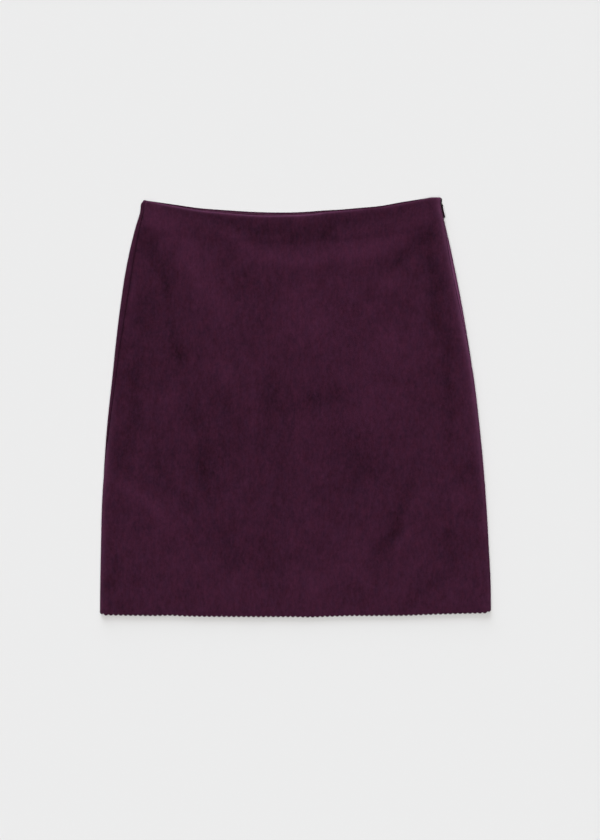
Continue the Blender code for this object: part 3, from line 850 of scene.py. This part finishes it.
def suede(name, colour):
    """Brushed faux suede: a fine matt nap that lies unevenly in upright strokes, with painted shade in its
    creases and along the left seam and painted highlights along its rims.
    """
    finish = Finish(name)
    # Painted crease and seam shade from each vertex, with random nap patches added to it.
    swing = finish.node("ShaderNodeAttribute", attribute_name="painted_shade").outputs["Fac"]
    for size, detail, roughness, stretch, distortion, strength in NAP_PATCHES:
        patches = finish.noise(size, detail, roughness, stretch, distortion)
        swing = finish.math("ADD", finish.centred(patches, strength), swing)
    # Painted rim highlights from each vertex.
    rim = finish.node("ShaderNodeAttribute", attribute_name="painted_rim_highlight").outputs["Fac"]
    fibres = finish.noise(size=6.0, detail=3.0, roughness=0.65, stretch=(0.9, 1.8, 1.0))
    warmth = finish.centred(fibres, 0.95)
    finish.shaded_colour(colour, swing, [finish.scaled(HIGHLIGHT_TINT, rim), finish.scaled(WARM_FIBRES, warmth)])
    nap = finish.noise(size=0.55, detail=3.0, roughness=0.65, stretch=(1, 1.3, 1))
    tufts = finish.noise(size=2.4)
    relief = finish.math("ADD", nap, finish.math("MULTIPLY", tufts, 1.5))
    finish.bump(relief, depth=0.35, distance=0.00025)
    shader = finish.shader
    shader.inputs["Roughness"].default_value = 0.95
    shader.inputs["Specular IOR Level"].default_value = 0.05
    shader.inputs["Sheen Weight"].default_value = 0.7
    shader.inputs["Sheen Roughness"].default_value = 0.3
    shader.inputs["Sheen Tint"].default_value = SHEEN_TINT
    return finish.material


def woven_tape(name):
    """Zip tape: a tight twill weave."""
    finish = Finish(name)
    weave = finish.node("ShaderNodeTexWave", wave_type="BANDS", bands_direction="DIAGONAL")
    weave.inputs["Scale"].default_value = 0.45
    weave.inputs["Distortion"].default_value = 0.4
    finish.join(finish.coordinates(), weave.inputs["Vector"])
    across = finish.node("ShaderNodeTexWave", wave_type="BANDS", bands_direction="X")
    across.inputs["Scale"].default_value = 0.5
    finish.join(finish.coordinates(), across.inputs["Vector"])
    threads = finish.math("ADD", weave.outputs["Fac"], finish.math("MULTIPLY", across.outputs["Fac"], 0.5))
    finish.shaded_colour(TAPE_COLOUR, finish.centred(threads, 0.4))
    finish.bump(threads, depth=0.5, distance=0.0002)
    finish.shader.inputs["Roughness"].default_value = 0.8
    finish.shader.inputs["Sheen Weight"].default_value = 0.2
    return finish.material


def nylon_coil(name):
    """The coil of the zip, dark nylon with a soft shine."""
    finish = Finish(name)
    finish.shaded_colour(COIL_COLOUR, finish.centred(finish.noise(size=1.5), 0.4))
    finish.bump(finish.noise(size=0.4, detail=3.0), depth=0.15, distance=0.0001)
    finish.shader.inputs["Roughness"].default_value = 0.38
    return finish.material


def lacquered_metal(name):
    """The slider and its pull tab: near-black plum lacquer, worn a little in random patches."""
    finish = Finish(name)
    wear = finish.noise(size=1.6, detail=3.0, roughness=0.6)
    finish.shaded_colour(LACQUER, finish.centred(wear, 1.2))
    rough = finish.node("ShaderNodeMapRange")
    rough.inputs["To Min"].default_value = 0.42
    rough.inputs["To Max"].default_value = 0.62
    finish.join(wear, rough.inputs["Value"])
    finish.join(rough.outputs["Result"], finish.shader.inputs["Roughness"])
    finish.bump(finish.noise(size=0.35), depth=0.12, distance=0.0001)
    finish.shader.inputs["Metallic"].default_value = 0.1
    finish.shader.inputs["Specular IOR Level"].default_value = 0.04
    return finish.material


def paper_floor(name):
    """Matt, almost even pale paper."""
    finish = Finish(name)
    finish.shaded_colour(FLOOR_COLOUR, finish.centred(finish.noise(size=4.0, detail=3.0), 0.004))
    finish.shader.inputs["Roughness"].default_value = 1.0
    finish.shader.inputs["Specular IOR Level"].default_value = 0.0
    return finish.material


# ---------------------------------------------------------------- slider, pull tab and coil
SHARP = math.radians(40)  # edges that turn more than this are rounded
BODY_SIZE = (3.6, 8.6, 2.4)
BODY_INSET = 4.4
BODY_RAISED = 1.2  # its middle above the hinge
BODY_TAPER, BODY_WAIST, BODY_CROWN = 0.22, 0.12, 0.10  # as shares of its size
BODY_ROUNDING = 0.45
RING_RADIUS = 1.57  # from the hinge's axis to the middle of the ring's wall
RING_WALL = 0.32
RING_HALF_HEIGHT = 0.5
ARM_HALF = 0.9
ARM_PATH = (
    # from the hinge, across and up
    (0.0, 1.4),
    (-0.5, 2.8),
    (-0.7, 4.4),
    (-0.4, 6.0),
    (-0.3, 7.4),
    (-0.9, 8.4),
    (-2.0, 8.8),
)
ARM_END = (-0.3, 7.8)  # from the middle of the slider's body, across, and from the hinge, up
PULL_THICK = 2.0
PULL_LEAN = 13.0  # degrees between the hanging tab and the skirt's length
PULL_WIDTHS = (
    # from the hinge, half its width
    (-0.7, 1.9),
    (0.7, 1.9),
    (2.7, 1.9),
    (3.4, 1.9),
    (5.4, 1.5),
    (8.0, 1.6),
    (10.8, 1.95),
)
PULL_STATIONS = (-0.7, 0.0, 0.7, 1.7, 2.7, 3.4, 4.4, 5.4, 6.7, 8.0, 9.4, 10.8, 12.0, 13.2, 14.1, 14.6)
PULL_ROWS = 6
PULL_WINDOW = (0.7, 2.7)  # from the hinge, its two ends
PULL_WINDOW_HALF, PULL_WINDOW_CORE = 1.0, 0.4
PULL_WINDOW_FRAME = 3.4  # from the hinge, where the window's frame ends
PULL_TIP, PULL_TIP_RADIUS = 12.3, 2.3
PULL_TIP_STARTS = 10.8
PULL_FACE = (3.6, 13.6)  # from the hinge; faces whose middles lie between these are sunk
PULL_FACE_RIM, PULL_FACE_DEPTH = 0.55, 0.25
PULL_ROUNDING = 0.2
COIL_PITCH = 1.1
COIL_TURNS, COIL_STEPS = 140, 8
COIL_HALF_WIDTH, COIL_HALF_HEIGHT = 1.5, 0.6
COIL_THREAD = 0.28
COIL_STARTS = 3.0  # above the tape's lower end
COIL_INSET = 1.2
COIL_CLEAR = 0.1


def sharp_edges(bm):
    return [edge for edge in bm.edges if edge.calc_face_angle(0) > SHARP]


def turned(degrees, axis):
    return Matrix.Rotation(math.radians(degrees), 4, axis)


def rounded(bm, edges, offset, segments):
    """Rounds edges by bevelling them."""
    bmesh.ops.bevel(
        bm,
        geom=edges,
        offset=offset,
        segments=segments,
        profile=0.5,
        affect="EDGES",
        material=-1,
        clamp_overlap=True,
    )


def swept_bar(bm, path, half_width, half_height):
    """A bar with a rounded section along points that lie in one level plane."""
    first = bmesh.ops.create_circle(bm, segments=8, radius=1, cap_ends=True)
    ring = first["verts"]
    cap = next(face for face in bm.faces if set(face.verts) == set(ring))
    path = [Vector(point) for point in path]
    turns = []
    for before, point, after in zip([path[0]] + path[:-1], path, path[1:] + [path[-1]]):
        ahead = (after - before).normalized()
        side = ahead.cross(Vector((0, 0, 1)))
        turns.append(Matrix((side * half_width, Vector((0, 0, half_height)), -ahead)).transposed())
    local = [vert.co.copy() for vert in ring]
    for i, (point, turn) in enumerate(zip(path, turns)):
        if i:
            made = bmesh.ops.extrude_discrete_faces(bm, faces=[cap])
            cap = made["faces"][0]
        for vert, at in zip(cap.verts, local):
            vert.co = point + turn @ at


def slider_bmesh():
    """The slider's body, in the seam: narrower towards its lower end and in its middle."""
    bm = bmesh.new()
    bmesh.ops.create_cube(bm, size=1)
    bmesh.ops.scale(bm, vec=BODY_SIZE, verts=bm.verts)
    bmesh.ops.subdivide_edges(bm, edges=bm.edges[:], cuts=3, use_grid_fill=True)
    for vert in bm.verts:
        along = vert.co.y / (BODY_SIZE[1] / 2)
        vert.co.x *= 1 - BODY_TAPER * (1 - along) / 2 - BODY_WAIST * (1 - along * along)
        vert.co.z *= 1 - BODY_CROWN * along * along
    rounded(bm, sharp_edges(bm), BODY_ROUNDING, 3)
    x = float(EDGE["right"](HINGE.y)) - BODY_INSET
    bmesh.ops.translate(bm, vec=(x, HINGE.y + BODY_RAISED, HINGE.z), verts=bm.verts)
    return bm


def bridge_ring_bmesh():
    """The eye round the hinge: a section turned round its axis."""
    bm = bmesh.new()
    section = bmesh.ops.create_circle(bm, segments=10, radius=1)["verts"]
    bmesh.ops.scale(bm, vec=(RING_WALL, RING_HALF_HEIGHT, 1), verts=section)
    bmesh.ops.rotate(bm, cent=(0, 0, 0), matrix=turned(90, "X"), verts=section)
    bmesh.ops.translate(bm, vec=(RING_RADIUS, 0, 0), verts=section)
    geom = bm.verts[:] + bm.edges[:]
    full = math.radians(360)
    bmesh.ops.spin(bm, geom=geom, cent=(0, 0, 0), axis=(0, 0, 1), angle=full, steps=32, use_merge=True)
    bmesh.ops.recalc_face_normals(bm, faces=bm.faces)
    bmesh.ops.translate(bm, vec=HINGE, verts=bm.verts)
    return bm


def joined(parts):
    """One bmesh from several closed ones."""
    whole = bmesh.new()
    for part in parts:
        mesh = bpy.data.meshes.new("part")
        part.to_mesh(mesh)
        part.free()
        whole.from_mesh(mesh)
        bpy.data.meshes.remove(mesh)
    return whole


def bridge_arm_bmesh():
    """The bridge from the eye over to the slider's body."""
    bm = bmesh.new()
    inner = float(EDGE["right"](HINGE.y)) - BODY_INSET - HINGE.x
    end = (inner + ARM_END[0], ARM_END[1])
    path = [(across, up, 0) for across, up in (*ARM_PATH, end)]
    swept_bar(bm, path, ARM_HALF, RING_HALF_HEIGHT)
    bmesh.ops.recalc_face_normals(bm, faces=bm.faces)
    bmesh.ops.translate(bm, vec=HINGE, verts=bm.verts)
    return bm


def pull_bmesh():
    """The pull tab: a window round the bridge's eye, a waist and a round tip, with a sunk face."""
    bm, place_of = grid_sheet(len(PULL_STATIONS) - 1, PULL_ROWS)
    lengths = [u for u, _ in PULL_WIDTHS]
    halves = [half for _, half in PULL_WIDTHS]
    for vert in bm.verts:
        column, row = place_of(vert)
        u = PULL_STATIONS[round(column)]
        half = float(np.interp(u, lengths, halves))
        if u > PULL_TIP_STARTS:
            half = math.sqrt(max(PULL_TIP_RADIUS**2 - (u - PULL_TIP) ** 2, 0.0))
        w = vert.co.y * half
        if u <= PULL_WINDOW_FRAME:
            steps = (0, PULL_WINDOW_CORE, PULL_WINDOW_HALF, half)
            w = math.copysign(steps[abs(row - PULL_ROWS // 2)], row - PULL_ROWS // 2)
        vert.co = Vector((u, w, 0))
    window = []
    for face in bm.faces:
        middle = face.calc_center_median()
        if PULL_WINDOW[0] < middle.x < PULL_WINDOW[1] and abs(middle.y) < PULL_WINDOW_HALF:
            window.append(face)
    bmesh.ops.delete(bm, geom=window, context="FACES")
    bmesh.ops.translate(bm, vec=(0, 0, PULL_THICK / 2), verts=bm.verts)
    bmesh.ops.solidify(bm, geom=bm.faces[:], thickness=PULL_THICK)
    level = [face for face in bm.faces if abs(face.normal.z) > 0.9]
    sunk = [face for face in level if PULL_FACE[0] < face.calc_center_median().x < PULL_FACE[1]]
    rim, depth = PULL_FACE_RIM, -PULL_FACE_DEPTH
    bmesh.ops.inset_region(bm, faces=sunk, thickness=rim, depth=depth, use_even_offset=True)
    rounded(bm, sharp_edges(bm), PULL_ROUNDING, 2)
    hang = Matrix.Translation(HINGE) @ turned(PULL_LEAN - 90, "Z")
    bmesh.ops.transform(bm, matrix=hang @ turned(90, "X"), verts=bm.verts)
    return bm


def coil_bmesh():
    """The zip's nylon coil: a flattened helix that follows the chain side of the tape."""
    bm = bmesh.new()
    section = bmesh.ops.create_circle(bm, segments=5, radius=COIL_THREAD)["verts"]
    bmesh.ops.rotate(bm, cent=(0, 0, 0), matrix=turned(180, "Z") @ turned(90, "X"), verts=section)
    bmesh.ops.translate(bm, vec=(1, 0, 0), verts=section)
    bmesh.ops.spin(
        bm,
        geom=bm.verts[:] + bm.edges[:],
        cent=(0, 0, 0),
        axis=(0, 1, 0),
        dvec=(0, COIL_PITCH / COIL_STEPS, 0),
        angle=math.radians(360) * COIL_TURNS,
        steps=COIL_TURNS * COIL_STEPS,
    )
    bmesh.ops.holes_fill(bm, edges=[edge for edge in bm.edges if edge.is_boundary])
    bottom = HINGE.y - ZIP_LENGTH + COIL_STARTS
    for vert in bm.verts:
        y = bottom + vert.co.y
        chain_side, beside_slider = tape_line(y)
        x = float(chain_side) - COIL_INSET + vert.co.x * COIL_HALF_WIDTH
        tape_level = TAPE_TOP + TAPE_RISE * (1 - float(beside_slider))
        z = tape_level + COIL_CLEAR + COIL_THREAD + COIL_HALF_HEIGHT
        vert.co = Vector((x, y, z + vert.co.z * COIL_HALF_HEIGHT))
    bmesh.ops.recalc_face_normals(bm, faces=bm.faces)
    return bm


# ---------------------------------------------------------------- the scene
def add_camera():
    camera_data = bpy.data.cameras.new("camera")
    camera_data.type = "PERSP"
    camera_data.lens = LENS
    camera_data.sensor_width = SENSOR
    camera = bpy.data.objects.new("camera", camera_data)
    distance = PICTURE_HEIGHT * LENS / SENSOR
    camera.location = (CAMERA_OVER[0], CAMERA_OVER[1], distance + SKIRT_TOP)
    bpy.context.scene.collection.objects.link(camera)
    bpy.context.scene.camera = camera


def add_floor():
    bm = bmesh.new()
    bmesh.ops.create_grid(bm, x_segments=1, y_segments=1, size=FLOOR_SIDE / 2)
    bmesh.ops.translate(bm, vec=(0, 0, -FLOOR_UNDER), verts=bm.verts)
    mesh = bpy.data.meshes.new("floor")
    bm.to_mesh(mesh)
    bm.free()
    mesh.materials.append(paper_floor("floor_paper"))
    floor = bpy.data.objects.new("floor", mesh)
    bpy.context.scene.collection.objects.link(floor)


def add_light():
    """Soft light from overhead, a low one from the waist's side, and a plain pale backdrop."""
    world = bpy.data.worlds.new("studio")
    world.use_nodes = True
    bpy.context.scene.world = world
    tree = world.node_tree
    sky = tree.nodes["Background"]
    source = new_node(tree, "ShaderNodeTexCoord")
    total = None
    for direction, full, none_left, brightness, tint in SOFT_LIGHTS:
        towards = new_node(tree, "ShaderNodeVectorMath", operation="DOT_PRODUCT")
        towards.inputs[1].default_value = direction
        tree.links.new(source.outputs["Generated"], towards.inputs[0])
        fade = new_node(tree, "ShaderNodeMapRange", interpolation_type="SMOOTHSTEP")
        fade.inputs["From Min"].default_value = math.cos(math.radians(none_left))
        fade.inputs["From Max"].default_value = math.cos(math.radians(full))
        fade.inputs["To Max"].default_value = brightness
        tree.links.new(towards.outputs["Value"], fade.inputs["Value"])
        tinted = new_node(tree, "ShaderNodeVectorMath", operation="SCALE")
        tinted.inputs[0].default_value = tint
        tree.links.new(fade.outputs["Result"], tinted.inputs["Scale"])
        added = new_node(tree, "ShaderNodeVectorMath", operation="ADD")
        added.inputs[1].default_value = (AMBIENT, AMBIENT, AMBIENT)
        if total:
            tree.links.new(total, added.inputs[1])
        tree.links.new(tinted.outputs["Vector"], added.inputs[0])
        total = added.outputs["Vector"]
    tree.links.new(total, sky.inputs["Color"])
    backdrop = new_node(tree, "ShaderNodeBackground")
    backdrop.inputs["Color"].default_value = (BACKDROP, BACKDROP, BACKDROP, 1)
    rays = new_node(tree, "ShaderNodeLightPath")
    either = new_node(tree, "ShaderNodeMixShader")
    tree.links.new(rays.outputs["Is Camera Ray"], either.inputs["Fac"])
    tree.links.new(sky.outputs["Background"], either.inputs[1])
    tree.links.new(backdrop.outputs["Background"], either.inputs[2])
    tree.links.new(either.outputs["Shader"], tree.nodes["World Output"].inputs["Surface"])


def add_skirt():
    outside = suede("wine_suede", WINE)
    # The facing gets the suede painted lighter, as though lit: painted light.
    inside = suede("facing_suede", LIT_WINE)
    weave = woven_tape("zip_tape_weave")
    nylon = nylon_coil("zip_coil_nylon")

    front_bm = panel_bmesh(FRONT, FRONT_CREASES)
    front = finished_piece("front_suede", front_bm, "skirt", outside, ["front_panel"])
    thicken(front, WALL, SUEDE_ROUNDING)
    back_bm = panel_bmesh(BACK, BACK_CREASES)
    press_darts(back_bm)
    back = finished_piece("back_suede", back_bm, "skirt", outside, ["back_panel"])
    thicken(back, WALL, SUEDE_ROUNDING)
    facing_bm = facing_bmesh()
    facing = finished_piece("back_waist_strip", facing_bm, "skirt", inside, ["back_waist_facing"])
    thicken(facing, FACING_WALL, FACING_ROUNDING)
    tape = finished_piece("zip_tape_cloth", tape_bmesh(), "skirt", weave, ["zip_tape"])
    thicken(tape, TAPE_WALL, TAPE_ROUNDING)
    coil = finished_piece("zip_coil", coil_bmesh(), "skirt", nylon)


def add_zip_metal():
    metal = lacquered_metal("dark_lacquered_metal")
    slider_bm = joined([slider_bmesh(), bridge_ring_bmesh(), bridge_arm_bmesh()])
    finished_piece("slider", slider_bm, "skirt", metal, ["zip_slider"])
    finished_piece("pull_tab", pull_bmesh(), "pull", metal, ["zip_pull"])


add_camera()
bpy.context.scene.view_settings.view_transform = "Standard"
add_floor()
add_light()
add_skirt()
add_zip_metal()
